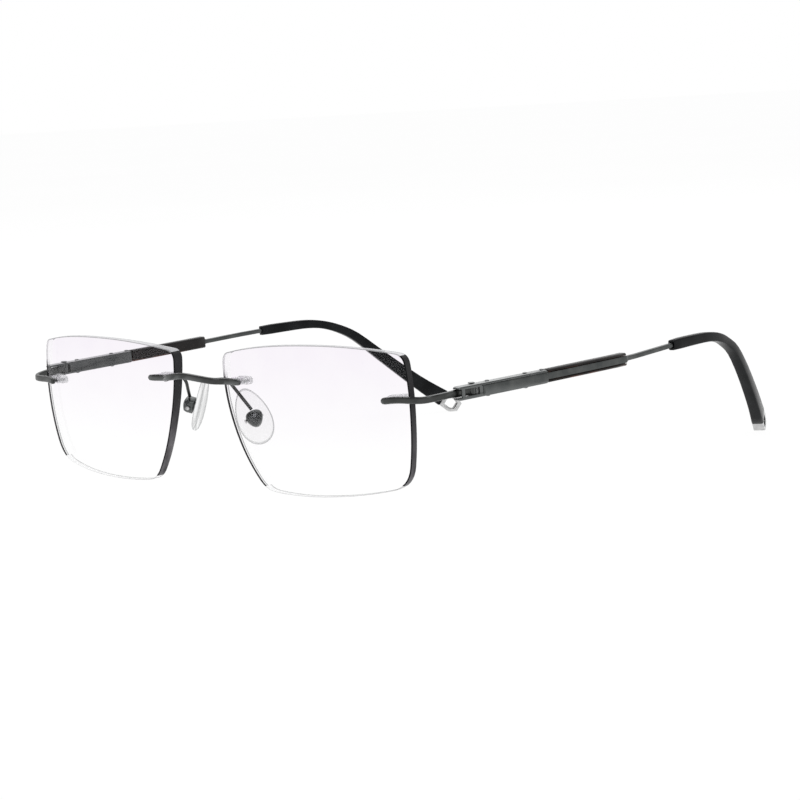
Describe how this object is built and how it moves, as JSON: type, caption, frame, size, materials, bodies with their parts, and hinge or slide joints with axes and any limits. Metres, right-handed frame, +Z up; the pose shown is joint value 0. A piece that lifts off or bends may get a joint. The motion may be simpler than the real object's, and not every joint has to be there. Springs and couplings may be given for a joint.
{
  "type": "eyeglasses",
  "caption": "Rimless eyeglasses with drilled clear lenses, slim dark metal bridge, folding hinged temples, curved tips and rocking nose pads.",
  "frame": {"origin": "bottom centre of the bounding box, on the table that the open glasses stand on", "axes": "+X to the wearer's left, +Y back along the temples to the wearer, +Z up"},
  "size_m": [0.1568, 0.1444, 0.0353],
  "materials": {
    "clear_lens": "polished clear lens with dark polished edge",
    "gunmetal": "satin dark gunmetal plating",
    "clear_plastic": "clear moulded plastic",
    "silicone": "clear soft silicone",
    "polished_steel": "polished",
    "sleeve_plastic": "dark satin plastic",
    "tip_acetate": "charcoal satin acetate"
  },
  "bodies": {
    "front": {"bridge": "gunmetal", "left_lens": "clear_lens", "left_endpiece": "gunmetal", "left_bridge_plug": "clear_plastic", "left_endpiece_plug": "clear_plastic", "left_pad_arm": "gunmetal", "left_pad_cup": "gunmetal", "left_pad_screw": "polished_steel", "right_lens": "clear_lens", "right_endpiece": "gunmetal", "right_bridge_plug": "clear_plastic", "right_endpiece_plug": "clear_plastic", "right_pad_arm": "gunmetal", "right_pad_cup": "gunmetal", "right_pad_screw": "polished_steel"},
    "left_pad": {"left_nose_pad": "silicone"},
    "right_pad": {"right_nose_pad": "silicone"},
    "left_temple": {"left_temple_housing": "gunmetal", "left_temple_cover": "gunmetal", "left_hinge_screw": "gunmetal", "left_rivet_1": "gunmetal", "left_rivet_2": "gunmetal", "left_core_screw": "gunmetal", "left_temple_core": "gunmetal", "left_temple_sleeve": "sleeve_plastic", "left_temple_tip": "tip_acetate", "left_tip_ring": "polished_steel"},
    "right_temple": {"right_temple_housing": "gunmetal", "right_temple_cover": "gunmetal", "right_hinge_screw": "gunmetal", "right_rivet_1": "gunmetal", "right_rivet_2": "gunmetal", "right_core_screw": "gunmetal", "right_temple_core": "gunmetal", "right_temple_sleeve": "sleeve_plastic", "right_temple_tip": "tip_acetate", "right_tip_ring": "polished_steel"}
  },
  "joints": [
    {"name": "left_fold", "type": "hinge", "parent": "front", "child": "left_temple", "pos_m": [0.07555, -0.05077, 0.0244], "axis": [0, 0, 1], "range_deg": [0, 84]},
    {"name": "right_fold", "type": "hinge", "parent": "front", "child": "right_temple", "pos_m": [-0.07555, -0.05077, 0.0244], "axis": [0, 0, -1], "range_deg": [0, 80]},
    {"name": "left_pad_rock", "type": "hinge", "parent": "front", "child": "left_pad", "pos_m": [0.01188, -0.06041, 0.0166], "axis": [-0.5274, -0.7958, -0.2975], "range_deg": [-8, 8]},
    {"name": "right_pad_rock", "type": "hinge", "parent": "front", "child": "right_pad", "pos_m": [-0.01218, -0.06041, 0.0188], "axis": [-0.5274, 0.7958, 0.2975], "range_deg": [-8, 8]}
  ]
}
